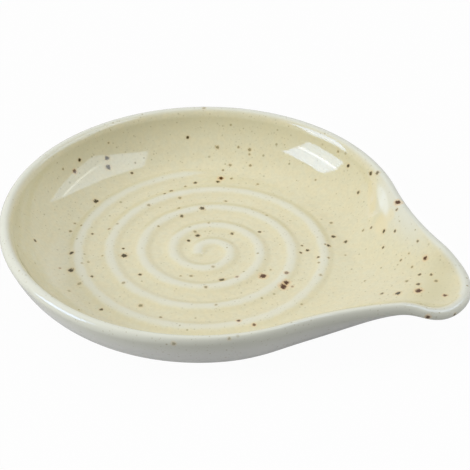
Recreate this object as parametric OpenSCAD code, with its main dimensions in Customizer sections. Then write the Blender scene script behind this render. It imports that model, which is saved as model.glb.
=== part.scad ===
// A spoon rest: one fired and glazed piece of stoneware.
// The bowl is round, with a spiral ridge on its floor. A short broad spout, which
// rises to a dipped lip, carries the handle of the spoon and points along +X.
// The origin is on the table, midway along the dish.

/* [Bowl] */
// Diameter of the round bowl, outside the rim
bowl_d = 132; // [124:1:150]
// Height of the bowl's rim above the table
rim_h = 21.2; // [19:0.1:28]
// Thickness of the rounded rim
rim_t = 4.1; // [3:0.1:5]
// Radius of the rounding on the rim's inner side
rim_in_r = 3.2; // [2.4:0.1:4]
// Thickness of the floor between the turns of the spiral
floor_t = 4; // [3:0.1:5]
// Radius of the flat floor inside the bowl
flat_r = 46; // [44:0.5:48]
// Angle by which the wall leans outward at the rim
wall_lean = 22; // [5:1:25]
// Width of the rounded corner under the bowl, from the rim to the flat underside
under_w = 22.6; // [20:0.2:24]

/* [Spout] */
// Reach of the spout, from the middle of the bowl to the outer edge of its tip
spout_reach = 92.2; // [88:0.2:100]
// Radius of the rounded tip, outside the rim
tip_r = 17.3; // [16:0.1:21]
// Radius of the hollow curve between the bowl and the tip, in the middle of the rim
neck_r = 112; // [70:1:180]
// Depth of the dip in the rim at the tip, where the handle lies
dip_h = 4; // [1:0.1:5]
// Length over which the rim falls into that dip
dip_l = 14; // [10:0.5:20]
// Height of the lip round the tip above the spout's floor
lip_h = 1.5; // [1:0.1:2.5]
// Thickness of the spout's floor at the tip
spout_t = 4.2; // [3:0.1:5]
// Length of the slope from the bowl's flat floor up to the floor of the spout
ramp_l = 34; // [30:0.5:37]
// Width of the rounded corner under the tip
tip_under_w = 14.4; // [10:0.2:14.6]

/* [Spiral] */
// Distance between two turns of the ridge
pitch = 10.55; // [9:0.05:13]
// Radius of the small curl in which the ridge starts
curl_r = 3.6; // [2.5:0.1:5]
// Radius at which the ridge fades out, short of the wall
spiral_r = 45.2; // [36:0.2:46]
// Width of the ridge at its foot
ridge_w = 5.2; // [3.5:0.1:6]
// Height of the ridge above the floor
ridge_h = 1; // [0.6:0.1:1.6]
// How far the spiral's middle is off the bowl's along the spout, as a hand leaves it
spiral_x = 1.5; // [0:0.1:2]
// How far it is off to the spout's left
spiral_y = 1.2; // [0:0.1:2]

/* [Foot] */
// Diameter of the foot ring, in the middle of its flat face
foot_d = 84; // [78:1:86]
// Width of the foot ring's flat face
foot_w = 3.4; // [2.5:0.1:5]
// Height of the foot ring
foot_h = 1.5; // [1:0.1:2.5]

/* [Hidden] */

// The rim's middle line: a circle, a hollow neck curve on each side, and the tip
rim_r = bowl_d / 2 - rim_t / 2;
tip_mid_r = tip_r - rim_t / 2;
tip_x = spout_reach - tip_r;
neck_x = (tip_x * tip_x + pow(rim_r + neck_r, 2) - pow(tip_mid_r + neck_r, 2)) / (2 * tip_x);
neck_y = sqrt(pow(rim_r + neck_r, 2) - neck_x * neck_x);
neck_bowl_a = atan2(neck_y, neck_x);
neck_tip_a = atan2(neck_y, neck_x - tip_x);
// The angles at which the neck curve starts and ends, seen from its own middle
neck_from_a = atan2(-neck_y, -neck_x);
neck_to_a = atan2(-neck_y, tip_x - neck_x);
bowl_steps = 64;
neck_steps = 12;
tip_steps = 14;

// Heights of the floor, the underside and the middle of the rim
floor_h = foot_h + floor_t;
tip_floor_h = rim_h - dip_h - lip_h;
tip_under_h = tip_floor_h - spout_t;
rim_mid_h = rim_h - rim_t / 2;

// Where the underside rises, where the outer wall changes, and where the rim ends
under_start = foot_d / 2 + foot_w;
under_end = tip_x + 2 * rim_t;
outer_start = under_start - 2.5 * rim_t;
outer_end = under_end + rim_t;
rim_end = spout_reach - rim_t / 2;
// The neck curve's two ends, and the shares of the way along it at which the inner wall
// starts to open and has opened, and then starts to turn into the lip and has turned
neck_start = rim_r * cos(neck_bowl_a);
neck_end = tip_x + tip_mid_r * cos(neck_tip_a);
open_shares = [-0.17, 0.32];
lip_shares = [0.5, 1.18];
// The inner slopes leave the rim at these angles, and so does the outside of the spout
neck_lean = 58;
lip_lean = 52;
spout_lean = 42;
// How much of the way to the spout's middle its inner slopes take, and how much of the
// floor's slope is rounded at each end
slope_share = 0.6;
round_share = 0.3;
// How full the rounded corners are, as shares of their width and height
inner_floor_share = 0.6;
neck_floor_share = 0.5;
inner_rim_share = 0.3;
outer_floor_share = 0.72;
outer_rim_share = 0.35;
spout_floor_share = 0.14;

floor_steps = 11;
inner_steps = 8;
crest_in_steps = 3;
crest_out_steps = 4;
outer_steps = 6;
under_steps = 8;

function ease(v) = let (c = min(max(v, 0), 1)) c * c * (3 - 2 * c);
function mix(a, b, share) = a + (b - a) * share;
function between(x, from, to) = ease((x - from) / (to - from));
function turned(r, a) = [r * cos(a), r * sin(a)];
function curve(p, t) = pow(1 - t, 3) * p[0] + 3 * pow(1 - t, 2) * t * p[1]
    + 3 * (1 - t) * t * t * p[2] + pow(t, 3) * p[3];

// An even slope from 0 to 1 with both its ends rounded
function slope(v) = let (c = min(max(v, 0), 1), b = round_share)
    (c < b ? c * c / (2 * b) : c > 1 - b ? 1 - b - pow(1 - c, 2) / (2 * b) : c - b / 2) / (1 - b);
// The smaller of two sizes, with a rounded change from one to the other
function soft_least(a, b, soft) = min(a, b) - pow(max(soft - abs(a - b), 0), 2) / (4 * soft);

function floor_at(p) = mix(floor_h, tip_floor_h, slope((norm([p[0], p[1]]) - flat_r) / ramp_l));
function under_at(p) = mix(foot_h, tip_under_h, between(p[0], under_start, under_end));
function rim_mid_at(x) = rim_mid_h - dip_h * between(x, rim_end - dip_l, rim_end);

// Stations along the rim's middle line: each a place, the outward direction there, and how
// far it is from there to the middle of the bowl or of the spout
function neck_station(a, side) = let (y = neck_y + neck_r * sin(a)) [
    [neck_x + neck_r * cos(a), side * y],
    [-cos(a), -side * sin(a)],
    -y / sin(a)];
stations = [
    for (i = [0 : bowl_steps - 1])
        let (a = mix(neck_bowl_a, 360 - neck_bowl_a, i / bowl_steps))
        [turned(rim_r, a), turned(1, a), rim_r],
    for (i = [0 : neck_steps - 1])
        neck_station(mix(neck_from_a, neck_to_a, i / neck_steps), -1),
    for (i = [0 : tip_steps - 1])
        let (a = mix(-neck_tip_a, neck_tip_a, i / tip_steps))
        [[tip_x, 0] + turned(tip_mid_r, a), turned(1, a), tip_mid_r],
    for (i = [0 : neck_steps - 1])
        neck_station(mix(neck_to_a, neck_from_a, i / neck_steps), 1)];

// A place on a station's section: so far outward from the middle of the rim, at a height
function at_rim(s, out, h) = [s[0][0] + s[1][0] * out, s[0][1] + s[1][1] * out, h];
function on_floor(s, out) = let (p = at_rim(s, out, 0)) [p[0], p[1], floor_at(p)];
function on_underside(s, out) = let (p = at_rim(s, out, 0)) [p[0], p[1], under_at(p)];

// What the inner wall has in the bowl, along the open neck and round the tip
function along_neck(share) = mix(neck_start, neck_end, share);
function inner_at(x, bowl, neck, tip) = mix(
    mix(bowl, neck, between(x, along_neck(open_shares[0]), along_neck(open_shares[1]))),
    tip, between(x, along_neck(lip_shares[0]), along_neck(lip_shares[1])));
function inner_lean(x) = inner_at(x, wall_lean, neck_lean, lip_lean);

// From the flat floor up the inside of the wall to the rim
function inner_wall(s) = let (
    mid = rim_mid_at(s[0][0]),
    lean = inner_lean(s[0][0]),
    full = inner_at(s[0][0], inner_floor_share, neck_floor_share, inner_floor_share),
    top = -cos(lean) * rim_in_r,
    top_h = mid + rim_t / 2 - (1 - sin(lean)) * rim_in_r,
    foot = -soft_least(rim_r - flat_r, s[2] * slope_share, rim_t),
    start = on_floor(s, foot),
    pull = (top_h - start[2]) * inner_rim_share,
    p = [start,
        on_floor(s, mix(foot, top, full)),
        at_rim(s, top - sin(lean) * pull, top_h - cos(lean) * pull),
        at_rim(s, top, top_h)])
    [for (i = [0 : inner_steps]) curve(p, i / inner_steps)];

// From the rim down the outside of the wall to the flat underside
function outer_wall(s) = let (
    w = between(s[0][0], outer_start, outer_end),
    mid = rim_mid_at(s[0][0]),
    lean = mix(wall_lean, spout_lean, w),
    top = cos(lean) * rim_t / 2,
    top_h = mid - sin(lean) * rim_t / 2,
    foot = rim_t / 2 - mix(under_w, tip_under_w, w),
    end = on_underside(s, foot),
    pull = (top_h - end[2]) * outer_rim_share,
    p = [at_rim(s, top, top_h),
        at_rim(s, top - sin(lean) * pull, top_h - cos(lean) * pull),
        on_underside(s, mix(foot, top, mix(outer_floor_share, spout_floor_share, w))),
        end])
    [for (i = [0 : outer_steps]) curve(p, i / outer_steps)];

// Over the top of the rim, from the one wall to the other
function crest(s) = let (
    from = 180 - inner_lean(s[0][0]),
    to = -mix(wall_lean, spout_lean, between(s[0][0], outer_start, outer_end)),
    mid = rim_mid_at(s[0][0]),
    in_mid = mid + rim_t / 2 - rim_in_r) [
    for (i = [1 : crest_in_steps]) let (a = mix(from, 90, i / crest_in_steps))
        at_rim(s, cos(a) * rim_in_r, in_mid + sin(a) * rim_in_r),
    for (i = [1 : crest_out_steps - 1]) let (a = mix(90, to, i / crest_out_steps))
        at_rim(s, cos(a) * rim_t / 2, mid + sin(a) * rim_t / 2)];

// The floor and the underside run in from the walls to a circle round the middle each
floor_core_r = flat_r - rim_t;
under_core_r = bowl_d / 2 - under_w - rim_t;
function inward(p, core_r, share) = let (core = core_r * [p[0], p[1]] / norm([p[0], p[1]]))
    [mix(p[0], core[0], share), mix(p[1], core[1], share)];
function section(s) = let (inner = inner_wall(s), outer = outer_wall(s)) [
    for (i = [floor_steps : -1 : 1])
        let (q = inward(inner[0], floor_core_r, i / floor_steps)) [q[0], q[1], floor_at(q)],
    each inner,
    each crest(s),
    each outer,
    for (i = [1 : under_steps])
        let (q = inward(outer[outer_steps], under_core_r, i / under_steps))
            [q[0], q[1], under_at(q)]];

// A closed skin over rings of points, with one more point to close each end
module skin(rings, first, last) {
    n = len(rings[0]);
    m = len(rings);
    points = [first, for (ring = rings) each ring, last];
    faces = [
        for (i = [0 : n - 1]) [0, 1 + (i + 1) % n, 1 + i],
        for (j = [0 : m - 2]) for (i = [0 : n - 1])
            let (a = 1 + j * n + i, b = 1 + j * n + (i + 1) % n)
            each [[a, b, a + n], [b, b + n, a + n]],
        for (i = [0 : n - 1]) let (a = 1 + (m - 1) * n)
            [m * n + 1, a + i, a + (i + 1) % n]];
    polyhedron(points, faces);
}

// The bowl and its spout, with the rim, as one thin wall
module shell() {
    sections = [for (s = stations) section(s)];
    rings = [for (j = [0 : len(sections[0]) - 1]) [for (part = sections) part[j]]];
    skin(rings, [0, 0, floor_h], [0, 0, foot_h]);
}

// The ridge starts in a small curl and winds outward, clockwise seen from above
spiral_a = 26;
first_turn = 0.463;
ridge_from = 0.36;
ridge_to = first_turn + spiral_r / pitch;
ridge_steps = 34;
// Turns over which the ridge rises at its start and fades at its end
rise_turns = 0.08;
fade_turns = 0.2;
// Across the ridge, shares of its width and height, and what is left of them at its ends
ridge_shares = [[-0.5, 0], [-0.3, 0.45], [-0.13, 1], [0.13, 1], [0.3, 0.45], [0.5, 0]];
end_share = 0.15;
ridge_sink = floor_t / 5;
function ridge_r(t) = norm([pitch * (t - first_turn), curl_r]);
function ridge_full(t) = mix(end_share, 1,
    between(t, ridge_from, ridge_from + rise_turns) * between(-t, -ridge_to, fade_turns - ridge_to));
function ridge_place(t, across, up) = let (q = turned(ridge_r(t) + across, spiral_a - 360 * t))
    [spiral_x + q[0], spiral_y + q[1], floor_h + up];
function ridge_ring(t) = let (full = ridge_full(t), w = ridge_w * full, h = ridge_h * full) [
    for (p = ridge_shares) ridge_place(t, p[0] * w, p[1] * h),
    ridge_place(t, w / 2, -ridge_sink),
    ridge_place(t, -w / 2, -ridge_sink)];
module spiral_ridge() {
    count = round((ridge_to - ridge_from) * ridge_steps);
    rings = [for (k = [0 : count]) ridge_ring(mix(ridge_from, ridge_to, k / count))];
    skin(rings, ridge_place(ridge_from, 0, -ridge_sink / 2), ridge_place(ridge_to, 0, -ridge_sink / 2));
}

// The bare ring that the dish stands on, with small slopes beside its flat face
foot_edge = foot_w / 8;
foot_side = foot_w / 4;
foot_sink = floor_t / 4;
module foot_ring() {
    in = foot_d / 2 - foot_w / 2;
    out = foot_d / 2 + foot_w / 2;
    rotate_extrude($fn = 128)
        polygon([[in, 0], [out, 0], [out + foot_edge, foot_edge], [out + foot_side, foot_h],
            [out + foot_side, foot_h + foot_sink], [in - foot_side, foot_h + foot_sink],
            [in - foot_side, foot_h], [in - foot_edge, foot_edge]]);
}

// The pieces above are drawn round the middle of the bowl
middle_x = (spout_reach - bowl_d / 2) / 2;
module dish() color("#DDD7BC") translate([-middle_x, 0, 0]) {
    shell();
    spiral_ridge();
    foot_ring();
}

dish();
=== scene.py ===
import math
import bmesh
import bpy
from mathutils import Matrix, Vector
from mathutils.bvhtree import BVHTree
from mathutils.kdtree import KDTree


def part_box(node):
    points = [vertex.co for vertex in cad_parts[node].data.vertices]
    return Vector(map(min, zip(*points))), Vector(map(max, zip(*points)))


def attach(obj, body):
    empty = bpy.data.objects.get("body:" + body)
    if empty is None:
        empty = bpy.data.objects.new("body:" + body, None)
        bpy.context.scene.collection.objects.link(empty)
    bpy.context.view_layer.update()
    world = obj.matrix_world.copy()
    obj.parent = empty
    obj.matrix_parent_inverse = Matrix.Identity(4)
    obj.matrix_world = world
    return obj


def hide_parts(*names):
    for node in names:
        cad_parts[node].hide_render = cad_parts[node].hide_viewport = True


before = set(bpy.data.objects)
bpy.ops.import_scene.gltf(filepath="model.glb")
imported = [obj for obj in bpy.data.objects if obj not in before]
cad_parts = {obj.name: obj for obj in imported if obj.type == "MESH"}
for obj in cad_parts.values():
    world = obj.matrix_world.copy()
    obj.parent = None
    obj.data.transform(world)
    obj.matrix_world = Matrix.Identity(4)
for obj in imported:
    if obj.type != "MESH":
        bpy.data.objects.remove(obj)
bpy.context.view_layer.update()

low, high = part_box("dish")
scene = bpy.context.scene
scene.view_settings.view_transform = "Standard"

# how the camera sees the dish, in metres and degrees
view = {
    "dishTurn": 26.0,         # the spout points this far to the right and towards the camera
    "elevation": 35.97,
    "roll": -0.498,
    "distance": 0.6976,
    "lens": 160.93,
    "sensor": 36.0,
    "aimRight": 0.01062,      # from the middle of the bowl to where the camera looks
    "aimBack": 0.00822,
    "aimUp": 0.0065,
    "imageSize": 470,
}

# the dish, in metres and degrees; its outer sizes are those of the frame
dishSize = {
    "bowlRadius": (high[1] - low[1]) / 2,
    "bowlMiddle": low[0] + (high[1] - low[1]) / 2,
    "reach": high[0] - low[0] - (high[1] - low[1]) / 2,
    "rimHeight": high[2],
    "rimThick": 0.0041,
    # the rounding on the rim's inner side: its radius in the bowl and in the spout, the lean of the
    # wall from which it changes, and a flatter shoulder where the wall leans less than shoulderTo
    "rimInside": 0.0020,
    "spoutInside": 0.0026,
    "changeFrom": 24,
    "shoulder": 0.0060,
    "shoulderTo": 42,
    # the rim is narrower along the front of the spout, with a fuller wall below it
    "rimSlim": 0.0009,
    "slimFull": 90,           # how much fuller, for each metre taken off
    "slimFrom": (-0.005, 0.030),
    "slimTo": (0.088, 0.074),
    "floorThick": 0.004,
    "flatRadius": 0.046,
    "flatInner": 0.045,       # up to here the floor's rings are round
    "tipRadius": 0.0173,
    "neckRadius": 0.112,
    "dipDepth": 0.004,
    "dipLength": 0.014,
    "lipHeight": 0.0015,
    "spoutThick": 0.0042,
    "rampLength": 0.034,      # the slope from the floor of the bowl up to that of the spout
    "rampRound": 0.3,         # share of the slope that is rounded at each end
    "neckFrom": 0.044,        # where along the spout the wall starts to open, and where it has
    "neckTo": 0.060,
    "tipFrom": 0.066,         # where the open neck turns into the lip of the tip
    "tipTo": 0.088,
    "slopeShare": 0.6,        # how much of the way to the middle of the spout its inner slopes take
    # for the bowl, the neck and the tip: the lean of the inner wall at the rim, and how full its
    # curve is by the floor and by the rim
    "inner": [(22, 0.6, 0.3), (58, 0.5, 0.3), (57, 0.4, 0.3)],
    "outerFrom": 0.0352,
    "outerTo": 0.0872,
    # for the bowl and the spout: the same outside, and the width of the slope there
    "outer": [(22, 0.72, 0.35, 0.0226), (42, 0.14, 0.35, 0.0144)],
    "underFrom": 0.0454,
    "underTo": 0.0831,
}

footSize = {
    "height": 0.0015,
    "radius": 0.042,
    "width": 0.0034,
    "edge": 0.0004,           # rounding of its edges
    "side": 0.00085,          # how far its sides spread
    "around": 0.0002,         # flat strip between it and the wall
}

spiralSize = {
    "pitch": 0.01055,
    "curl": 0.0036,           # how near the middle the ridge comes
    "from": 0.36,             # in turns, like the next one, from which the distance grows
    "middle": 0.435,
    "outerRadius": 0.0458,
    "startAngle": 26.0,
    "right": 0.0015,
    "back": 0.0012,
    "width": 0.0080,
    "topWidth": 0.0004,
    "height": 0.00072,
    "rise": 0.1,              # turns over which the ridge comes up and fades away
    "fade": 0.063,
    "least": 0.15,            # how much of it is left at its ends
    "reach": 0.052,           # no ridge beyond this radius
}

# rings and columns of the mesh; crowd over 1 draws the rings of the inner wall together at the rim
meshSteps = {"spin": 80, "cuts": 5, "floor": 124, "innerWall": 44, "crowd": 1.25,
             "crestIn": 9, "crestOut": 8, "outerWall": 37, "under": 4}


def ease(v):
    v = min(max(v, 0), 1)
    return v * v * (3 - 2 * v)


def mix(a, b, share):
    return a + (b - a) * share


def between(v, start, end):
    return ease((v - start) / (end - start))


def blendSizes(a, b, share):
    return [mix(p, q, share) for p, q in zip(a, b)]


# Camera

def addCamera(v, middle):
    turn = Matrix.Rotation(math.radians(v["dishTurn"]), 4, "Z")
    tilt = Matrix.Rotation(math.radians(90 - v["elevation"]), 4, "X")
    roll = Matrix.Rotation(math.radians(v["roll"]), 4, "Z")
    spot = turn @ Vector((v["aimRight"], v["aimBack"], 0)) + Vector((middle, 0, v["aimUp"]))
    data = bpy.data.cameras.new("camera")
    data.lens = v["lens"]
    data.sensor_width = v["sensor"]
    camera = bpy.data.objects.new("camera", data)
    away = (turn @ tilt) @ Vector((0, 0, v["distance"]))
    camera.matrix_world = Matrix.Translation(spot + away) @ turn @ tilt @ roll
    scene.collection.objects.link(camera)
    scene.camera = camera


def pixelSize(v):
    # the width of a pixel at one metre from the camera
    return v["sensor"] / v["lens"] / v["imageSize"]


addCamera(view, dishSize["bowlMiddle"])
print("camera placed")


# The shape of the dish, drawn round the middle of the bowl

def rimArcs(d):
    # the rim's middle line: the bowl, a hollow neck curve, the tip, and the other neck curve
    bowlR = d["bowlRadius"] - d["rimThick"] / 2
    tipR = d["tipRadius"] - d["rimThick"] / 2
    tipX = d["reach"] - d["tipRadius"]
    neckR = d["neckRadius"]
    neckX = (tipX ** 2 + (bowlR + neckR) ** 2 - (tipR + neckR) ** 2) / (2 * tipX)
    neckY = math.sqrt((bowlR + neckR) ** 2 - neckX ** 2)
    atBowl = math.atan2(neckY, neckX)
    atTip = math.atan2(neckY, neckX - tipX)
    pi = math.pi
    return [
        {"middle": (0, 0), "radius": bowlR, "turn": (atBowl, 2 * pi - atBowl), "side": 1},
        {"middle": (neckX, -neckY), "radius": neckR, "turn": (pi - atBowl, pi - atTip), "side": -1},
        {"middle": (tipX, 0), "radius": tipR, "turn": (-atTip, atTip), "side": 1},
        {"middle": (neckX, neckY), "radius": neckR, "turn": (atTip - pi, atBowl - pi), "side": -1},
    ]


def rimStations(d, count):
    # places spread evenly along the rim, each with its outward direction
    arcs = rimArcs(d)
    lengths = [arc["radius"] * abs(arc["turn"][1] - arc["turn"][0]) for arc in arcs]
    places = []
    for i in range(count):
        run = sum(lengths) * i / count
        for arc, length in zip(arcs, lengths):
            if run < length:
                break
            run -= length
        a = mix(*arc["turn"], run / length)
        way = Vector((math.cos(a), math.sin(a), 0))
        places.append((Vector((*arc["middle"], 0)) + way * arc["radius"], way * arc["side"]))
    return places


def floorHeight(d, x, y):
    # flat in the bowl, then an even slope with rounded ends up to the floor of the spout
    flat = footSize["height"] + d["floorThick"]
    top = d["rimHeight"] - d["dipDepth"] - d["lipHeight"]
    v = min(max((math.hypot(x, y) - d["flatRadius"]) / d["rampLength"], 0), 1)
    soft = d["rampRound"]
    if v < soft:
        share = v * v / (2 * soft)
    elif v > 1 - soft:
        share = 1 - soft - (1 - v) ** 2 / (2 * soft)
    else:
        share = v - soft / 2
    return mix(flat, top, share / (1 - soft))


def underHeight(d, x, y):
    top = d["rimHeight"] - d["dipDepth"] - d["lipHeight"] - d["spoutThick"]
    return mix(footSize["height"], top, between(x, d["underFrom"], d["underTo"]))


def wallSizes(d, place, out):
    # how the walls lie at a place on the rim, and the height of the rim's middle there; an inner
    # slope is as wide as in the bowl, or a share of the way to the middle of the spout
    x = place.x
    bowl, neck, tip = d["inner"]
    inner = blendSizes(bowl, neck, between(x, d["neckFrom"], d["neckTo"]))
    inner = blendSizes(inner, tip, between(x, d["tipFrom"], d["tipTo"]))
    width = d["bowlRadius"] - d["rimThick"] / 2 - d["flatRadius"]
    toMiddle = d["bowlRadius"]
    if x > d["neckFrom"]:
        sideways = abs(out.y) > 0.2         # and not at the very tip
        toMiddle = place.y / out.y if sideways else d["tipRadius"] - d["rimThick"] / 2
    inner.append(softLeast(width, toMiddle * d["slopeShare"], d["rimThick"]))
    outer = blendSizes(*d["outer"], between(x, d["outerFrom"], d["outerTo"]))
    end = d["reach"] - d["rimThick"] / 2
    mid = d["rimHeight"] - d["rimThick"] / 2 - d["dipDepth"] * between(x, end - d["dipLength"], end)
    return inner, outer, mid


def softLeast(a, b, soft):
    # the smaller of two sizes, with a rounded change from one to the other
    gap = max(soft - abs(a - b), 0)
    return min(a, b) - gap * gap / (4 * soft)


def bezier(p, t):
    s = 1 - t
    return p[0] * s ** 3 + p[1] * (3 * s * s * t) + p[2] * (3 * s * t * t) + p[3] * t ** 3


def alongPath(points, count, crowd=1.0):
    # evenly spaced places on a path; crowd over 1 draws them together at its end
    runs = [0.0]
    for a, b in zip(points, points[1:]):
        runs.append(runs[-1] + (b - a).length)
    places = []
    k = 0
    for i in range(1, count + 1):
        run = runs[-1] * (1 - (1 - i / count) ** crowd)
        while k < len(points) - 2 and runs[k + 1] < run:
            k += 1
        share = (run - runs[k]) / max(runs[k + 1] - runs[k], 1e-9)
        places.append(points[k].lerp(points[k + 1], share))
    return places


def wallCurve(out, edge, slope, lean, heightAt):
    # from the foot of a wall to the edge of the rim; out is the way from the foot to the rim
    _, floorFull, rimFull, width = slope
    level = lambda p: Vector((p.x, p.y, heightAt(p.x, p.y)))
    foot = level(edge - out * width)
    pull = (edge.z - foot.z) * rimFull
    reach = out * math.sin(lean) * pull + Vector((0, 0, math.cos(lean) * pull))
    curve = [foot, level(edge - out * width * (1 - floorFull)), edge - reach, edge]
    count = 24
    return [bezier(curve, i / count) for i in range(count + 1)]


def overFlat(core, wall, heightAt):
    # from the round core out to the foot of a wall, and on up the wall
    count = 12
    path = [core.lerp(wall[0], i / count) for i in range(count)]
    return [Vector((p.x, p.y, heightAt(p.x, p.y))) for p in path] + wall


def innerCrest(d, top, out, lean, count):
    # from the top of the rim down to the edge of the inner wall, in small steps
    points = [top]
    fine = 12
    spoutShare = between(math.degrees(lean), d["changeFrom"], d["shoulderTo"])
    rounded = mix(d["rimInside"], d["spoutInside"], spoutShare)
    for i in range(count * fine):
        slope = mix(math.pi / 2, lean, (i + 0.5) / (count * fine))
        radius = d["shoulder"] if math.degrees(slope) < d["shoulderTo"] else rounded
        run = radius * (math.pi / 2 - lean) / (count * fine)
        down = Vector((0, 0, math.cos(slope) * run))
        points.append(points[-1] - out * math.sin(slope) * run - down)
    return points[::fine]


def slimAt(d, place):
    # how much narrower the rim is at a place on it
    if place.y >= 0:
        return 0
    return d["rimSlim"] * between(place.x, *d["slimFrom"]) * between(place.x, *d["slimTo"])


def section(d, steps, station):
    # one cut through the dish, from the middle of its floor over the rim to the middle of its foot
    place, out = station
    inner, outer, mid = wallSizes(d, place, out)
    half = d["rimThick"] / 2
    slim = slimAt(d, place)
    halfOut = half - slim
    outer[1] *= 1 + slim * d["slimFull"]
    leanIn, leanOut = math.radians(inner[0]), math.radians(outer[0])
    up = Vector((0, 0, 1))
    centre = place + up * mid

    floorAt = lambda x, y: floorHeight(d, x, y)
    crest = innerCrest(d, centre + up * half, out, leanIn, steps["crestIn"])[::-1]
    inner[3] -= (centre - crest[0]).dot(out)
    wall = wallCurve(out, crest[0], inner, leanIn, floorAt)
    core = Vector((wall[0].x, wall[0].y, 0)).normalized() * d["flatInner"]
    points = [core * i / steps["floor"] for i in range(steps["floor"] + 1)]
    points = [Vector((p.x, p.y, floorAt(p.x, p.y))) for p in points]
    points += alongPath(overFlat(core, wall, floorAt), steps["innerWall"], steps["crowd"]) + crest[1:]
    for i in range(1, steps["crestOut"]):
        a = mix(math.pi / 2, -leanOut, i / steps["crestOut"])
        points.append(centre + out * math.cos(a) * halfOut + up * math.sin(a) * half)

    underAt = lambda x, y: underHeight(d, x, y)
    edge = centre + out * math.cos(leanOut) * halfOut - up * math.sin(leanOut) * half
    outer[3] += math.cos(leanOut) * halfOut - half
    wall = wallCurve(out, edge, outer, leanOut, underAt)
    footOut = footSize["radius"] + footSize["width"] / 2 + footSize["side"] + footSize["around"]
    wall = [p for p in wall if math.hypot(p.x, p.y) > footOut]
    way = Vector((wall[0].x, wall[0].y, 0)).normalized()
    points += [edge] + alongPath(overFlat(way * footOut, wall, underAt)[::-1], steps["outerWall"])

    for r, z in footProfile(footSize):
        points.append(way * r + up * z)
    inside = footProfile(footSize)[-1][0]
    for i in range(1, steps["under"] + 1):
        points.append(way * inside * (1 - i / steps["under"]) + up * footSize["height"])
    return points


def footProfile(f):
    # the ring that the dish stands on, from its outer side to its inner side, corners softened
    out, ins = f["radius"] + f["width"] / 2, f["radius"] - f["width"] / 2
    h, e, s = f["height"], f["edge"], f["side"]
    side = [(out + s, h), (out + s * 0.75, h * 0.78)]
    side += [(out + e, e * 1.1), (out + e * 0.55, e * 0.3), (out, 0)]
    return side + [((out + ins) / 2, 0)] + [(ins + out - r, z) for r, z in side[::-1]]


def ridgeAt(s, x, y):
    # how far up the spiral ridge a place on the floor is, from 0 beside it to 1 on its top
    x, y = x - s["right"], y - s["back"]
    r = math.hypot(x, y)
    turn = (math.radians(s["startAngle"]) - math.atan2(y, x)) / math.tau
    last = s["middle"] + s["outerRadius"] / s["pitch"]
    best = 0
    nearTurn = round(r / s["pitch"] + s["middle"] - turn)
    for k in (-1, 0, 1):
        t = turn + nearTurn + k
        nearest = min(max(t, s["from"]), last)
        risen = between(nearest, s["from"], s["from"] + s["rise"])
        faded = between(nearest, last - s["fade"], last)
        full = mix(s["least"], 1, risen * (1 - faded))
        across = abs(r - math.hypot(s["pitch"] * (nearest - s["middle"]), s["curl"]))
        past = abs(t - nearest) * math.tau * r
        side, top = s["width"] / 2 * full, s["topWidth"] / 2 * full
        best = max(best, full * ease((side - math.hypot(across, past)) / (side - top)))
    return best


# Where shade is painted, and where the glaze is paler (at the neck partly a painted reflection) or left
# off, in metres from the middle of the bowl; a pair is where a zone begins and where it is full
glazeZones = {
    # painted shade: darker in the hollow of the tip below its rim, and up the back-left wall of the bowl
    "tipShade": (0.070, 0.084),
    "tipShadeRings": 12,       # rings of the mesh below the rim
    "wallShade": (0.011, 0.019),     # up the wall of the bowl, and towards its back and left
    "wallShadeBack": (-0.02, 0.05),
    "wallShadeShare": 0.45,
    "creamOut": (0.015, 0.045),     # the cream runs further out over the rim at the spout's front
    "creamOutShare": 0.2,
    # the pale reaches further in at the neck: partly pale glaze, partly a painted reflection
    "neckFrom": (0.038, 0.050),
    "neckTo": (0.076, 0.060),
    "acrossLeast": -3,        # how far inside the rim the measure across it goes on, in rims
    "bareRing": 5,            # the middle of the bare strip, in rings after the wall, and half its width
    "bareRings": 4.5,
}


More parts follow.
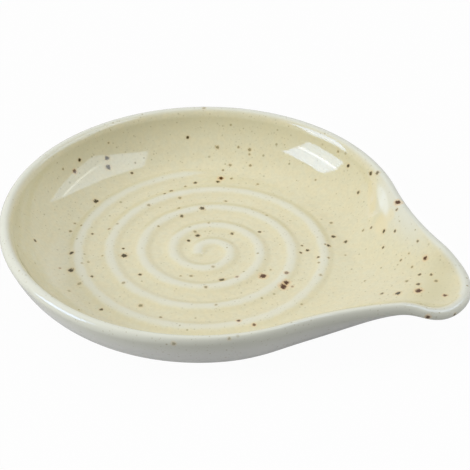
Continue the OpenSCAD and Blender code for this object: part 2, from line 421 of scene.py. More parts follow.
def buildDish(d, zones, steps):
    around = steps["spin"] * steps["cuts"]
    stations = rimStations(d, around)
    cuts = [section(d, steps, station) for station in stations]
    bm = bmesh.new()
    ring = bm.verts.layers.int.new("ring")
    line = []
    for i, p in enumerate(cuts[0]):
        v = bm.verts.new((math.hypot(p.x, p.y), 0, p.z))
        v[ring] = i
        line.append(v)
    edges = [bm.edges.new(pair) for pair in zip(line, line[1:])]
    bmesh.ops.spin(bm, geom=line + edges, cent=(0, 0, 0), axis=(0, 0, 1), dvec=(0, 0, 0),
                   angle=math.tau, steps=steps["spin"], use_merge=True)
    bmesh.ops.remove_doubles(bm, verts=bm.verts[:], dist=1e-7)
    hoops = [e for e in bm.edges if e.verts[0][ring] == e.verts[1][ring]]
    bmesh.ops.subdivide_edges(bm, edges=hoops, cuts=steps["cuts"] - 1, use_grid_fill=True)
    names = ("ridge", "across", "bare", "paintedShade", "neck")
    ridge, across, bare, paintedShade, neck = [bm.verts.layers.float.new(name) for name in names]
    rimStart = steps["floor"] + steps["innerWall"]
    rimEnd = rimStart + steps["crestIn"] + steps["crestOut"]
    foot = rimEnd + steps["outerWall"] + 1
    for v in bm.verts:
        k = round(math.atan2(v.co.y, v.co.x) / math.tau * around) % around
        i = v[ring]
        v.co = cuts[k][i]
        x, y, z = v.co
        if i <= rimStart:
            if math.hypot(x, y) < spiralSize["reach"]:
                v[ridge] = ridgeAt(spiralSize, x, y)
                z += v[ridge] * spiralSize["height"]
                v.co.z = z
            # painted shade: darker in the tip's hollow, fading towards its rim, and up the back-left wall
            wall = between(z, *zones["wallShade"]) * between(y - x, *zones["wallShadeBack"])
            tip = between(x, *zones["tipShade"]) * between(i, rimStart, rimStart - zones["tipShadeRings"])
            v[paintedShade] = max(tip, wall * zones["wallShadeShare"])
        # where a place is across the rim: 0 at its inner side, 1 at its outer side and below, and
        # less where the cream runs further out
        place, out = stations[k]
        off = ((v.co - place).dot(out) + d["rimThick"] / 2) / (d["rimThick"] - slimAt(d, place))
        if y < 0:
            off -= between(x, *zones["creamOut"]) * zones["creamOutShare"]
        v[across] = min(max(off, zones["acrossLeast"]), 1) if i < rimEnd else 1
        # further in at the neck the pale is partly a painted reflection
        if y > 0:
            v[neck] = between(x, *zones["neckFrom"]) * between(x, *zones["neckTo"])
        v[bare] = min(max(zones["bareRings"] - abs(i - foot - zones["bareRing"]), 0), 1)
    bmesh.ops.translate(bm, verts=bm.verts[:], vec=(d["bowlMiddle"], 0, 0))
    bmesh.ops.recalc_face_normals(bm, faces=bm.faces[:])
    mesh = bpy.data.meshes.new("speckledDish")
    bm.to_mesh(mesh)
    bm.free()
    mesh.shade_smooth()
    dish = bpy.data.objects.new("speckledDish", mesh)
    scene.collection.objects.link(dish)
    return dish


dish = buildDish(dishSize, glazeZones, meshSteps)
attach(dish, "root")
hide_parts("dish")
print("dish built,", len(dish.data.vertices), "vertices")


# Iron spots that came up through the glaze: where each one is in the picture, its
# radius in millimetres and how strongly it shows

ironSpots = {
    "red": [
        (74.6, 171.4, 0.62, 0.8), (220.9, 178.3, 0.75, 0.95), (262.9, 276.2, 0.9, 1),
        (283.4, 286.4, 0.95, 1), (286.4, 282.4, 0.8, 0.95), (398.1, 202.1, 0.85, 1),
        (418.6, 290.6, 0.9, 1), (425.2, 258.3, 0.65, 0.95), (444.8, 295.4, 0.55, 0.85),
        (60, 268.2, 0.4, 0.5), (292.3, 286.6, 0.45, 0.5), (236.8, 276.7, 0.55, 0.55),
        (109.3, 228.9, 0.42, 0.5), (286.4, 272.7, 0.6, 0.65), (254, 324.7, 0.48, 0.8),
        (238.6, 320.6, 0.58, 0.9), (428, 317.2, 0.6, 0.9),
    ],
    "brown": [
        (35.1, 240.6, 0.5, 0.85), (70.9, 270.4, 0.75, 0.95), (377.4, 172.9, 0.6, 0.75),
        (370.6, 173.6, 0.6, 0.85), (79.6, 160.1, 0.5, 0.95), (107, 158.2, 0.65, 0.8),
        (108.1, 167.2, 0.75, 0.8), (187.8, 137.4, 0.45, 0.9), (131.9, 173, 0.42, 0.8),
        (95.9, 201.2, 0.7, 1), (217.9, 181.7, 0.6, 0.85), (195.4, 182.8, 0.5, 0.8),
        (171.3, 190.9, 0.5, 0.8), (164.7, 193.6, 0.42, 0.75), (181.7, 216, 0.5, 0.8),
        (202.2, 208.1, 0.65, 0.85), (197.8, 235.7, 0.6, 0.9), (188.5, 240.6, 0.5, 0.9),
        (231.9, 233.7, 0.45, 0.75), (92.6, 233.9, 0.4, 0.75), (71.6, 253, 0.65, 0.95),
        (123.2, 248.5, 0.4, 0.9), (124.3, 255.6, 0.85, 1), (91.9, 276.4, 0.45, 0.8),
        (101.3, 309.5, 0.48, 0.85), (140, 274.6, 0.5, 0.85), (221.8, 279.8, 0.75, 0.9),
        (348.2, 165.8, 0.5, 0.9), (358.4, 192.7, 0.5, 0.8), (383.8, 231.3, 0.55, 0.9),
        (394.9, 231, 0.42, 0.8), (371.2, 227.6, 0.42, 0.7), (396.7, 209.6, 0.42, 0.7),
        (333.3, 236.6, 0.58, 0.9), (345.8, 241.7, 0.5, 0.85), (259.7, 231.9, 0.45, 0.8),
        (383.2, 247.4, 0.42, 0.8), (307.5, 250.3, 0.5, 0.9), (300.9, 252.7, 0.4, 0.8),
        (302.1, 245.7, 0.38, 0.7), (328.7, 245.7, 0.55, 0.9), (325.2, 244.2, 0.3, 0.7),
        (318.2, 257.2, 0.42, 0.85), (400.8, 260.2, 0.38, 0.7), (417.6, 241.2, 0.38, 0.7),
        (419.4, 274.6, 0.45, 0.8), (431.3, 274.7, 0.4, 0.75), (398.1, 293.2, 0.78, 0.95),
        (381.7, 293.6, 0.48, 0.8), (418.2, 284.2, 0.52, 0.8), (454.7, 314.9, 0.45, 0.7),
    ],
    "olive": [
        (108.7, 142.8, 0.3, 0.6), (63.1, 169.1, 0.3, 0.6), (204, 108, 0.45, 0.5),
        (217.5, 147.3, 0.45, 0.75), (135.2, 162.8, 0.3, 0.5), (231.4, 178.6, 0.35, 0.7),
        (230.2, 165.1, 0.38, 0.65), (223, 170.2, 0.32, 0.65), (185.4, 186.5, 0.36, 0.6),
        (179.9, 197.9, 0.4, 0.65), (148.4, 205, 0.45, 0.55), (178.8, 208.1, 0.42, 0.7),
        (225.6, 201.1, 0.4, 0.65), (194.8, 231.6, 0.42, 0.6), (70.3, 231.2, 0.38, 0.75),
        (74.9, 223.4, 0.33, 0.55), (81.1, 225.3, 0.35, 0.55), (117.4, 223.7, 0.4, 0.45),
        (79.4, 283.7, 0.5, 0.55), (69.2, 290.9, 0.4, 0.4), (123.7, 282.7, 0.45, 0.55),
        (140.6, 305.6, 0.55, 0.75), (160.7, 317.3, 0.38, 0.7), (191.2, 275.9, 0.42, 0.65),
        (180.6, 275.9, 0.3, 0.5), (205.9, 287, 0.45, 0.7), (213.1, 266.5, 0.45, 0.5),
        (216, 304.7, 0.35, 0.5), (88.4, 262, 0.35, 0.5), (82, 263, 0.3, 0.5),
        (102.5, 255.7, 0.3, 0.5), (158.4, 226.2, 0.3, 0.6), (208.6, 222.9, 0.35, 0.55),
        (238.3, 147.1, 0.32, 0.6), (249.5, 149.7, 0.4, 0.7), (249.5, 154.4, 0.3, 0.6),
        (250.3, 165.4, 0.35, 0.7), (257.8, 184.1, 0.35, 0.6), (338.3, 151.6, 0.35, 0.6),
        (363.1, 230.3, 0.38, 0.6), (331.5, 222.8, 0.4, 0.65), (315.5, 179.9, 0.3, 0.55),
        (266.9, 215.3, 0.35, 0.45), (318.6, 262.6, 0.33, 0.6), (328.5, 257.7, 0.33, 0.6),
        (320.7, 275, 0.4, 0.5), (412.2, 267, 0.35, 0.7), (436.1, 280.9, 0.45, 0.7),
        (406.8, 281, 0.45, 0.7), (364.8, 280.9, 0.3, 0.55), (345.6, 255.1, 0.3, 0.45),
        (408.9, 253.5, 0.3, 0.6), (173.7, 343.8, 0.45, 0.55), (229.3, 338.6, 0.35, 0.45),
        (270.7, 269.7, 0.33, 0.5), (301.7, 304.3, 0.33, 0.5),
    ],
}
# the tone of each kind, and how much wider and stronger it is laid on, because its edge fades
spotKinds = {
    "olive": {"tone": 0.0, "wider": 1.45, "stronger": 1.15},
    "brown": {"tone": 0.5, "wider": 1.35, "stronger": 1.07},
    "red": {"tone": 1.0, "wider": 1.3, "stronger": 1.07},
}
spotLayers = 6
spotRoom = {"edge": 0.0013, "apart": 0.0012}     # round the mark of a spot, and between two marks


def spotPlaces(tree, v):
    # where each spot's line of sight meets the dish, with the dish's slope there
    camera = scene.camera.matrix_world
    pixel = pixelSize(v)
    half = v["imageSize"] / 2
    places = []
    for kind, spots in ironSpots.items():
        laid = spotKinds[kind]
        for x, y, radius, strength in spots:
            radius *= laid["wider"] / 1000
            way = camera.to_3x3() @ Vector(((x - half) * pixel, (half - y) * pixel, -1))
            spot, normal, _, _ = tree.ray_cast(camera.translation, way.normalized())
            if spot:
                places.append({"at": spot, "normal": normal, "radius": radius, "tone": laid["tone"],
                               "strength": min(strength * laid["stronger"], 1),
                               "reach": spotRoom["edge"] + 2 * radius})
    return places


def markSpots(dish, layers):
    # a spot is kept as the place in its own plane, in radii; spots that are close together go on
    # different layers, and beyond its reach a layer is empty
    bm = bmesh.new()
    bm.from_mesh(dish.data)
    places = spotPlaces(BVHTree.FromBMesh(bm), view)
    tree = KDTree(len(bm.verts))
    for v in bm.verts:
        tree.insert(v.co, v.index)
    tree.balance()
    bm.verts.ensure_lookup_table()
    marks = [bm.verts.layers.float_vector.new(f"spots{i}") for i in range(layers)]
    kinds = [bm.verts.layers.float_color.new(f"tones{i}") for i in range(layers)]
    taken = [[] for _ in range(layers)]
    left = 0
    for place in sorted(places, key=lambda p: -p["radius"]):
        room = place["reach"] + spotRoom["apart"]
        clear = lambda other: (place["at"] - other["at"]).length > room + other["reach"]
        free = [i for i in range(layers) if all(clear(other) for other in taken[i])]
        if not free:
            left += 1
            continue
        layer = min(free, key=lambda i: len(taken[i]))
        taken[layer].append(place)
        right = place["normal"].orthogonal().normalized()
        up = place["normal"].cross(right)
        for co, index, _ in tree.find_range(place["at"], place["reach"]):
            off = (co - place["at"]) / place["radius"]
            bm.verts[index][marks[layer]] = (off.dot(right), off.dot(up), 1)
            bm.verts[index][kinds[layer]] = (place["tone"], place["strength"], 0, 1)
    bm.to_mesh(dish.data)
    bm.free()
    print("spots marked,", len(places) - left, "of", len(places))


markSpots(dish, spotLayers)


# Painted reflections, and warm patches round the painted highlight at the neck, partly warmer glaze and
# partly the cream wall's painted reflection: the middle of each patch in the picture, half its width and
# half its height there, its lean in degrees and how strongly it shows

patchSoft = (1.15, 0.55)      # where a patch begins and is full, as shares of its size
patchAcross = 0.8             # no patch further out on the rim than this
glazePatches = {
    # painted highlight: the key box's reflection on the wall at the neck, and a faint painted reflection
    # on the left wall
    "paintedReflection": [(382.9, 200.3, 5.5, 16.5, 13, 0.85), (58, 262, 14, 28, -8, 0.12)],
    # warm patches round the painted highlight at the neck: partly warmer glaze, partly the cream wall's
    # painted reflection
    "warm": [(371.8, 197, 5.5, 26, -3, 0.6), (381.5, 223.5, 13, 7, 70, 0.6), (390, 215, 5, 8, -20, 0.5)],
}


def markPatches(dish, v):
    toCamera = scene.camera.matrix_world.inverted()
    pixel = pixelSize(v)
    bm = bmesh.new()
    bm.from_mesh(dish.data)
    across = bm.verts.layers.float["across"]
    for name, patches in glazePatches.items():
        layer = bm.verts.layers.float.new(name)
        for vert in bm.verts:
            if vert[across] > patchAcross:
                continue
            p = toCamera @ vert.co
            x, y = (v["imageSize"] / 2 + c / -p.z / pixel for c in (p.x, -p.y))
            for px, py, wide, tall, lean, strength in patches:
                c, s = math.cos(math.radians(lean)), math.sin(math.radians(lean))
                right, down = (x - px) * c - (y - py) * s, (x - px) * s + (y - py) * c
                share = between(math.hypot(right / wide, down / tall), *patchSoft)
                vert[layer] = max(vert[layer], share * strength)
    bm.to_mesh(dish.data)
    bm.free()


markPatches(dish, view)
print("patches marked")


# The glaze: cream inside, pale on the rim and outside and where it is thin on the ridge. A pair is
# where a change begins and where it is full

glazeLook = {
    "cream": (0.705, 0.675, 0.485),
    # beside the ridge this deeper tone is partly gathered glaze and partly painted shade of its flanks
    "creamDeep": (0.655, 0.60, 0.385),    # clouds and the sides of the ridge, where it gathers
    # painted shade for the tip's hollow and the back-left wall of the bowl
    "paintedShade": (0.615, 0.575, 0.365),
    "pale": (0.69, 0.70, 0.61),
    "outside": (0.77, 0.775, 0.73),
    "thin": (0.705, 0.71, 0.61),          # on top of the ridge
    # painted highlight and painted reflection: pale where a reflection is painted onto the glaze
    "paintedReflection": (0.80, 0.81, 0.72),
    # warm: yellow clouds, and the patches at the neck that are partly a painted reflection of the cream
    # wall
    "warm": (0.76, 0.67, 0.42),
    "clay": (0.56, 0.43, 0.30),
    "clayDark": (0.42, 0.30, 0.19),
    "grog": (0.74, 0.64, 0.50),
    "spotOlive": (0.23, 0.20, 0.09),
    "spotBrown": (0.055, 0.038, 0.003),
    "spotRed": (0.080, 0.028, 0.003),
    "haloBrown": (0.66, 0.52, 0.27),
    "haloRed": (0.74, 0.51, 0.25),
    "fine": (0.33, 0.28, 0.13),
    # the scale and the contrast of each kind of cloud
    "broad": (28.0, 0.22),
    "small": (190.0, 0.25),
    "yellow": (420.0, 0.15),
    "mist": (1000.0, 0.15),
    "crowd": (45.0, 0.15),
    "deepShare": 0.3,
    "yellowShare": 0.3,
    "mistShare": 0.08,
    # how far up the ridge its sides begin and end, and where the glaze gets thin
    "sideFrom": (0.0, 0.25),
    "sideTo": (0.6, 0.3),
    # darker on both flanks of the ridge: partly gathered glaze, partly painted shade
    "sideShare": 0.3,
    "thinFrom": (0.5, 1.05),
    "thinShare": 0.68,
    "thinBroken": 0.2,
    # where across the rim the cream ends, how far that line wanders, and the same at the neck, where the
    # wider pale band is partly a painted reflection
    "rimFrom": (0.0, 0.48),
    "rimWander": 0.12,
    "neckFrom": (-1.5, 0.2),
    "neckShare": 0.8,
    "outsideFrom": (0.8, 1.0),
    # painted shade: the paler outside glaze only low on the outer wall, so its upper part under the rim
    # stays darker
    "outsideBelow": (0.0185, 0.012),
    # fine specks: the scale of their cells, how many hold one, its radius in its cell and its strength
    "specks": [(290.0, 0.6, 0.15, 0.8), (560.0, 1.0, 0.2, 0.6), (900.0, 1.0, 0.25, 0.4)],
    "speckLeast": 0.25,       # share of the cells with a speck, and how much crowds add to it
    "speckCrowd": 0.45,
    # the placed spots: how ragged they are, and how far their core and halo reach, in radii
    "raggedScale": 1400,
    "ragged": 1.3,
    "core": (1.15, 0.55),
    "halo": (2.0, 0.9),
    "haloShare": 0.55,
    # the bare clay: its ragged edge, its grains and its clouds
    "bareFrom": (0.55, 0.75),
    "bareWander": 0.3,
    "grains": {"Scale": 900.0, "Chance": 0.35, "Radius": 0.3},
    "clayShare": 0.6,
    "roughness": 0.07,
    "clayRoughness": 0.75,
    # orange peel in the glaze and grain in the clay, as one bump
    "peelScale": 330,
    "grainHeight": 4.0,
    "bumpStrength": 0.12,
    "bumpHeight": 0.00006,
}


def nodeGroup(name, inputs, outputs):
    # an empty node group with its sockets; each is its name, its kind and its value
    group = bpy.data.node_groups.new(name, "ShaderNodeTree")
    for socket, kind, value in inputs:
        made = group.interface.new_socket(socket, in_out="INPUT", socket_type=kind)
        if value is not None:
            made.default_value = value
    for socket, kind in outputs:
        group.interface.new_socket(socket, in_out="OUTPUT", socket_type=kind)
    return group, group.nodes.new("NodeGroupInput"), group.nodes.new("NodeGroupOutput")


def feed(tree, socket, value):
    # links what comes out of another node, or sets a constant
    if isinstance(value, bpy.types.NodeSocket):
        tree.links.new(value, socket)
    elif value is not None:
        socket.default_value = value


def addMath(tree, operation, a, b=None):
    node = tree.nodes.new("ShaderNodeMath")
    node.operation = operation
    feed(tree, node.inputs[0], a)
    feed(tree, node.inputs[1], b)
    return node.outputs[0]


def times(tree, a, b):
    return addMath(tree, "MULTIPLY", a, b)


def plus(tree, a, b):
    return addMath(tree, "ADD", a, b)


def minus(tree, a, b):
    return addMath(tree, "SUBTRACT", a, b)


def addVectorMath(tree, operation, a, b=None):
    node = tree.nodes.new("ShaderNodeVectorMath")
    node.operation = operation
    feed(tree, node.inputs[0], a)
    feed(tree, node.inputs[1], b)
    return node.outputs["Value" if operation in ("LENGTH", "DOT_PRODUCT") else "Vector"]


def addStep(tree, value, start, end):
    # 0 up to the start and 1 from the end on, with a smooth change between them
    node = tree.nodes.new("ShaderNodeMapRange")
    node.interpolation_type = "SMOOTHSTEP"
    feed(tree, node.inputs["Value"], value)
    feed(tree, node.inputs["From Min"], start)
    feed(tree, node.inputs["From Max"], end)
    return node.outputs["Result"]


def addMix(tree, share, a, b):
    node = tree.nodes.new("ShaderNodeMix")
    node.data_type = "RGBA"
    feed(tree, node.inputs["Factor"], share)
    for socket, value in ((node.inputs[6], a), (node.inputs[7], b)):
        feed(tree, socket, (*value, 1) if isinstance(value, tuple) else value)
    return node.outputs[2]


def ironSpotGroup(look):
    # lays one layer of placed spots over a colour
    group, given, result = nodeGroup("ironSpot", [
        ("Color", "NodeSocketColor", None), ("Marks", "NodeSocketVector", None),
        ("Tones", "NodeSocketColor", None), ("Wobble", "NodeSocketVector", None),
    ], [("Color", "NodeSocketColor")])
    apart = group.nodes.new("ShaderNodeSeparateXYZ")
    group.links.new(given.outputs["Marks"], apart.inputs[0])
    flat = group.nodes.new("ShaderNodeCombineXYZ")
    group.links.new(apart.outputs[0], flat.inputs[0])
    group.links.new(apart.outputs[1], flat.inputs[1])
    moved = addVectorMath(group, "ADD", flat.outputs[0], given.outputs["Wobble"])
    away = addVectorMath(group, "LENGTH", moved)
    marked = addStep(group, apart.outputs[2], 0.97, 0.999)
    tone = group.nodes.new("ShaderNodeSeparateColor")
    group.links.new(given.outputs["Tones"], tone.inputs[0])
    kind, strength = tone.outputs[0], tone.outputs[1]      # 0 is olive, 0.5 brown and 1 red
    brown = addStep(group, kind, 0.1, 0.4)
    red = addStep(group, kind, 0.6, 0.9)
    coreColor = addMix(group, brown, look["spotOlive"], look["spotBrown"])
    coreColor = addMix(group, red, coreColor, look["spotRed"])
    haloColor = addMix(group, red, look["haloBrown"], look["haloRed"])
    seen = times(group, marked, strength)
    halo = times(group, times(group, seen, addStep(group, away, *look["halo"])), look["haloShare"])
    core = times(group, seen, addStep(group, away, *look["core"]))
    color = addMix(group, halo, given.outputs["Color"], haloColor)
    group.links.new(addMix(group, core, color, coreColor), result.inputs[0])
    return group


def speckleGroup():
    # scattered round specks: cells of the given size, of which only some hold a speck
    group, given, result = nodeGroup("speckle", [
        ("Vector", "NodeSocketVector", None), ("Scale", "NodeSocketFloat", 300.0),
        ("Chance", "NodeSocketFloat", 0.3), ("Radius", "NodeSocketFloat", 0.12),
    ], [("Mask", "NodeSocketFloat")])
    cells = group.nodes.new("ShaderNodeTexVoronoi")
    group.links.new(given.outputs["Vector"], cells.inputs["Vector"])
    group.links.new(given.outputs["Scale"], cells.inputs["Scale"])
    tone = group.nodes.new("ShaderNodeSeparateColor")
    group.links.new(cells.outputs["Color"], tone.inputs[0])
    smallest, soft, faintest = 0.4, 0.4, 0.4
    radius = times(group, given.outputs["Radius"], plus(group, tone.outputs[1], smallest))
    near = addStep(group, cells.outputs["Distance"], radius, times(group, radius, soft))
    chosen = addMath(group, "LESS_THAN", tone.outputs[0], given.outputs["Chance"])
    depth = plus(group, times(group, tone.outputs[2], 1 - faintest), faintest)
    group.links.new(times(group, times(group, near, chosen), depth), result.inputs[0])
    return group


def cloudGroup():
    # soft drifting clouds between 0 and 1
    group, given, result = nodeGroup("cloud", [
        ("Vector", "NodeSocketVector", None), ("Scale", "NodeSocketFloat", 30.0),
        ("Contrast", "NodeSocketFloat", 0.2),
    ], [("Mask", "NodeSocketFloat")])
    noise = group.nodes.new("ShaderNodeTexNoise")
    noise.inputs["Detail"].default_value = 3
    group.links.new(given.outputs["Vector"], noise.inputs["Vector"])
    group.links.new(given.outputs["Scale"], noise.inputs["Scale"])
    lowest = minus(group, 0.5, given.outputs["Contrast"])
    highest = plus(group, 0.5, given.outputs["Contrast"])
    group.links.new(addStep(group, noise.outputs[0], lowest, highest), result.inputs[0])
    return group


def buildGlaze(look, layers):
    glaze = bpy.data.materials.new("speckledGlaze")
    glaze.use_nodes = True
    tree = glaze.node_tree
    shader = tree.nodes["Principled BSDF"]
    place = tree.nodes.new("ShaderNodeTexCoord").outputs["Object"]
    cloud, speckle, ironSpot = cloudGroup(), speckleGroup(), ironSpotGroup(look)

    def attribute(name, output="Fac"):
        node = tree.nodes.new("ShaderNodeAttribute")
        node.attribute_name = name
        return node.outputs[output]

    def group(kind, **values):
        node = tree.nodes.new("ShaderNodeGroup")
        node.node_tree = kind
        for name, value in values.items():
            feed(tree, node.inputs[name], value)
        return node.outputs[0]

    def clouds(name):
        scale, contrast = look[name]
        return group(cloud, Vector=place, Scale=scale, Contrast=contrast)

    # the cream body, a little deeper in the clouds and beside the ridge (partly gathered glaze, partly
    # painted shade of its flanks), with painted shade in the tip and up the back-left wall
    broad, small, mist = clouds("broad"), clouds("small"), clouds("mist")
    deep = times(tree, plus(tree, broad, times(tree, small, 0.5)), look["deepShare"])
    color = addMix(tree, deep, look["cream"], look["creamDeep"])
    color = addMix(tree, times(tree, clouds("yellow"), look["yellowShare"]), color, look["warm"])
    color = addMix(tree, times(tree, mist, look["mistShare"]), color, look["fine"])
    ridge = attribute("ridge")
    # darker on both flanks of the ridge: partly gathered glaze, partly painted shade
    side = times(tree, addStep(tree, ridge, *look["sideFrom"]), addStep(tree, ridge, *look["sideTo"]))
    color = addMix(tree, times(tree, side, look["sideShare"]), color, look["creamDeep"])
    # painted shade in the tip's hollow and up the back-left wall
    color = addMix(tree, attribute("paintedShade"), color, look["paintedShade"])
    broken = plus(tree, ridge, times(tree, minus(tree, small, 0.5), look["thinBroken"]))
    thin = times(tree, addStep(tree, broken, *look["thinFrom"]), look["thinShare"])
    color = addMix(tree, thin, color, look["thin"])

    # the pale glaze starts on top of the rim
    edge = plus(tree, attribute("across"), times(tree, minus(tree, broad, 0.5), look["rimWander"]))
    # further in at the neck the pale is partly a painted reflection
    atNeck = times(tree, attribute("neck"), addStep(tree, edge, *look["neckFrom"]))
    atNeck = times(tree, atNeck, look["neckShare"])
    onRim = addMath(tree, "MAXIMUM", addStep(tree, edge, *look["rimFrom"]), atNeck)
    color = addMix(tree, onRim, color, look["pale"])
    apart = tree.nodes.new("ShaderNodeSeparateXYZ")
    tree.links.new(place, apart.inputs[0])
    # painted shade: the paler outside glaze only low on the outer wall, so its upper part under the rim
    # stays darker
    below = addStep(tree, apart.outputs[2], *look["outsideBelow"])
    outside = times(tree, addStep(tree, edge, *look["outsideFrom"]), below)
    color = addMix(tree, outside, color, look["outside"])
    # the warm patches, partly the cream wall's painted reflection, and the painted reflections
    for name in ("warm", "paintedReflection"):
        color = addMix(tree, attribute(name), color, look[name])

    # fine specks, thicker in some clouds than in others
    some = plus(tree, times(tree, clouds("crowd"), look["speckCrowd"]), look["speckLeast"])
    for scale, share, radius, strength in look["specks"]:
        mask = group(speckle, Vector=place, Scale=scale, Chance=times(tree, some, share), Radius=radius)
        color = addMix(tree, times(tree, mask, strength), color, look["fine"])

    # the spots that were placed one by one, a little out of round
    ragged = tree.nodes.new("ShaderNodeTexNoise")
    ragged.inputs["Scale"].default_value = look["raggedScale"]
    tree.links.new(place, ragged.inputs["Vector"])
    wobble = addVectorMath(tree, "SUBTRACT", ragged.outputs["Color"], (0.5, 0.5, 0.5))
    wobble = addVectorMath(tree, "MULTIPLY", wobble, (look["ragged"], look["ragged"], 0))
    for i in range(layers):
        color = group(ironSpot, Color=color, Marks=attribute(f"spots{i}", "Vector"),
                      Tones=attribute(f"tones{i}", "Color"), Wobble=wobble)

    # the foot ring is wiped bare, with a slightly ragged edge
    worn = plus(tree, attribute("bare"), times(tree, small, look["bareWander"]))
    bare = addStep(tree, worn, *look["bareFrom"])
    grog = group(speckle, Vector=place, **look["grains"])
    clay = addMix(tree, times(tree, mist, look["clayShare"]), look["clay"], look["clayDark"])
    clay = addMix(tree, grog, clay, look["grog"])
    tree.links.new(addMix(tree, bare, color, clay), shader.inputs["Base Color"])
    rough = tree.nodes.new("ShaderNodeMix")
    rough.inputs[2].default_value = look["roughness"]
    rough.inputs[3].default_value = look["clayRoughness"]
    tree.links.new(bare, rough.inputs[0])
    tree.links.new(rough.outputs[0], shader.inputs["Roughness"])

    # orange peel in the glaze, grain in the clay
    peel = tree.nodes.new("ShaderNodeTexNoise")
    peel.inputs["Scale"].default_value = look["peelScale"]
    tree.links.new(place, peel.inputs["Vector"])
    grain = times(tree, times(tree, bare, grog), look["grainHeight"])
    bump = tree.nodes.new("ShaderNodeBump")
    bump.inputs["Strength"].default_value = look["bumpStrength"]
    bump.inputs["Distance"].default_value = look["bumpHeight"]
    tree.links.new(plus(tree, peel.outputs[0], grain), bump.inputs["Height"])
    tree.links.new(bump.outputs[0], shader.inputs["Normal"])
    return glaze


dish.data.materials.append(buildGlaze(glazeLook, spotLayers))
print("glaze mixed")


# Lights; turn is clockwise from straight behind the dish, as the camera sees it. Each box is a lamp
# for the matt share of the light and a cloth that the glaze mirrors, whose corners and tube are
# measured in metres from the middle of its own plane

lightBoxes = {
    "keyBox": {
        "turn": -101, "height": 27, "distance": 1.2, "wide": 0.60, "tall": 0.58, "lamp": 8.2,
        "corners": [(-0.286, 0.415), (-0.251, -0.214), (0.323, -0.326), (0.279, 0.315)],
        "tube": ((-0.30, 0.067), (0.36, -0.062)), "tubeWide": 0.055,
        "low": (3.2, 4.6, 7.3), "high": (3.5, 5.1, 8.5), "bright": (8.8, 10.3, 14.2),
    },
    "fillBox": {
        "turn": 90, "height": 42, "distance": 1.2, "wide": 0.95, "tall": 0.85, "lamp": 1.75,
        "corners": [(-0.64, -0.28), (0.29, -0.27), (0.54, 0.48), (-0.09, 0.73)],
        "tube": ((-0.5, -0.055), (0.12, 0.015)), "tubeWide": 0.05,
        "low": (2.0, 2.5, 3.3), "high": (2.6, 3.2, 4.2), "bright": (5.8, 6.4, 7.0),
    },
}
studio = {
    "allRound": 0.24,         # light on matt surfaces from all round, and more of it from above
    "above": 0.87,
    "aboveFrom": (0.6, 0.95),
    "mirrored": 0.9,          # the white backdrop as the glaze mirrors it, behind and in front
    "mirroredFront": 0.35,
    "behindFrom": (-0.2, 0.3),
    "floorSize": 1.5,
    "floor": 0.52,            # how pale the floor is for the light that it throws back
    "floorWhite": 0.97,       # share of plain white in the floor, as seen and as mirrored
    "floorMirrored": 0.28,
}


def addBox(name, box):
    turn, height = math.radians(box["turn"]), math.radians(box["height"])
    toBox = Matrix.Rotation(math.radians(view["dishTurn"]), 4, "Z") @ Matrix.Rotation(-turn, 4, "Z")
    toBox = Matrix.Translation((dishSize["bowlMiddle"], 0, 0)) @ toBox @ Matrix.Rotation(height, 4, "X")
    toBox = toBox @ Matrix.Translation((0, box["distance"], 0)) @ Matrix.Rotation(math.radians(90), 4, "X")
    data = bpy.data.lights.new(name, "AREA")
    data.shape = "RECTANGLE"
    data.size, data.size_y = box["wide"], box["tall"]
    data.energy = box["lamp"] * box["wide"] * box["tall"] * math.pi
    lamp = bpy.data.objects.new(name, data)
    lamp.matrix_world = toBox @ Matrix.Rotation(math.pi, 4, "Y")
    lamp.visible_camera = lamp.visible_glossy = False
    scene.collection.objects.link(lamp)

    bm = bmesh.new()
    bmesh.ops.contextual_create(bm, geom=[bm.verts.new((x, y, 0)) for x, y in box["corners"]])
    mesh = bpy.data.meshes.new(name + "Cloth")
    bm.to_mesh(mesh)
    bm.free()
    cloth = bpy.data.objects.new(name + "Cloth", mesh)
    cloth.matrix_world = toBox
    cloth.visible_camera = cloth.visible_diffuse = cloth.visible_shadow = False
    scene.collection.objects.link(cloth)
    mesh.materials.append(clothPaint(name + "Cloth", box))


def clothPaint(name, box):
    # glowing cloth, a little brighter below its tube, which shows through as a line
    paint = bpy.data.materials.new(name)
    paint.use_nodes = True
    tree = paint.node_tree
    tree.nodes.clear()
    place = tree.nodes.new("ShaderNodeTexCoord").outputs["Object"]
    apart = tree.nodes.new("ShaderNodeSeparateXYZ")
    tree.links.new(place, apart.inputs[0])
    (x0, y0), (x1, y1) = box["tube"]
    soft, fadeOut, wide = 0.02, 0.05, box["tubeWide"]
    level = times(tree, minus(tree, apart.outputs[0], x0), (y1 - y0) / (x1 - x0))
    above = minus(tree, minus(tree, apart.outputs[1], y0), level)
    color = addMix(tree, addStep(tree, above, -soft, soft), box["low"], box["high"])
    away = addMath(tree, "ABSOLUTE", minus(tree, apart.outputs[0], (x0 + x1) / 2))
    along = addStep(tree, away, (x1 - x0) / 2, (x1 - x0) / 2 - fadeOut)
    tube = addStep(tree, addMath(tree, "ABSOLUTE", above), wide * 0.8, wide * 0.2)
    color = addMix(tree, times(tree, tube, along), color, box["bright"])
    glow = tree.nodes.new("ShaderNodeEmission")
    tree.links.new(color, glow.inputs["Color"])
    tree.links.new(glow.outputs[0], tree.nodes.new("ShaderNodeOutputMaterial").inputs[0])
    return paint


def shinyRay(tree, path):
    return addMath(tree, "MAXIMUM", path.outputs["Is Glossy Ray"], path.outputs["Is Transmission Ray"])


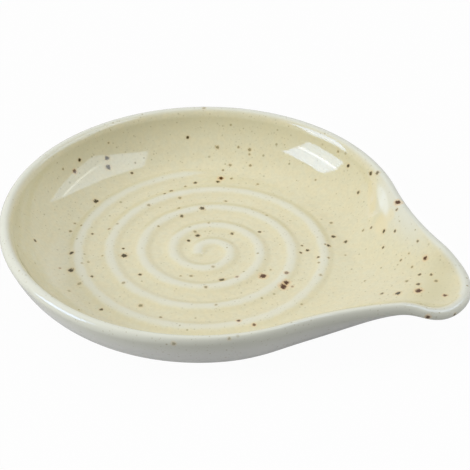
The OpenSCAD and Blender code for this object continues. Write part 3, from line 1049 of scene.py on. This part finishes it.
def addWorld(s):
    # white wherever it is seen, white behind the dish where it is mirrored, dim where it only lights
    world = bpy.data.worlds.new("studio")
    scene.world = world
    world.use_nodes = True
    tree = world.node_tree
    tree.nodes.clear()
    way = tree.nodes.new("ShaderNodeTexCoord").outputs["Generated"]
    turn = math.radians(view["dishTurn"])
    back = (-math.sin(turn), math.cos(turn), 0)
    behind = addStep(tree, addVectorMath(tree, "DOT_PRODUCT", way, back), *s["behindFrom"])
    above = addStep(tree, addVectorMath(tree, "DOT_PRODUCT", way, (0, 0, 1)), *s["aboveFrom"])
    light = plus(tree, times(tree, above, s["above"]), s["allRound"])
    front = s["mirroredFront"]
    mirrored = plus(tree, times(tree, behind, s["mirrored"] - front), front)
    path = tree.nodes.new("ShaderNodeLightPath")
    color = addMix(tree, shinyRay(tree, path), light, mirrored)
    color = addMix(tree, path.outputs["Is Camera Ray"], color, (1, 1, 1))
    glow = tree.nodes.new("ShaderNodeBackground")
    tree.links.new(color, glow.inputs["Color"])
    tree.links.new(glow.outputs[0], tree.nodes.new("ShaderNodeOutputWorld").inputs[0])


def addFloor(s):
    bm = bmesh.new()
    bmesh.ops.create_grid(bm, x_segments=1, y_segments=1, size=s["floorSize"])
    mesh = bpy.data.meshes.new("floor")
    bm.to_mesh(mesh)
    bm.free()
    floor = bpy.data.objects.new("floor", mesh)
    scene.collection.objects.link(floor)
    paint = bpy.data.materials.new("floorPaint")
    paint.use_nodes = True
    tree = paint.node_tree
    tree.nodes.clear()
    path = tree.nodes.new("ShaderNodeLightPath")
    seen = times(tree, path.outputs["Is Camera Ray"], s["floorWhite"])
    white = plus(tree, seen, times(tree, shinyRay(tree, path), s["floorMirrored"]))
    matt = tree.nodes.new("ShaderNodeBsdfDiffuse")
    matt.inputs["Color"].default_value = (s["floor"], s["floor"], s["floor"], 1)
    blend = tree.nodes.new("ShaderNodeMixShader")
    tree.links.new(white, blend.inputs[0])
    tree.links.new(matt.outputs[0], blend.inputs[1])
    tree.links.new(tree.nodes.new("ShaderNodeEmission").outputs[0], blend.inputs[2])
    tree.links.new(blend.outputs[0], tree.nodes.new("ShaderNodeOutputMaterial").inputs[0])
    mesh.materials.append(paint)


for name, box in lightBoxes.items():
    addBox(name, box)
addWorld(studio)
addFloor(studio)
print("studio lit")
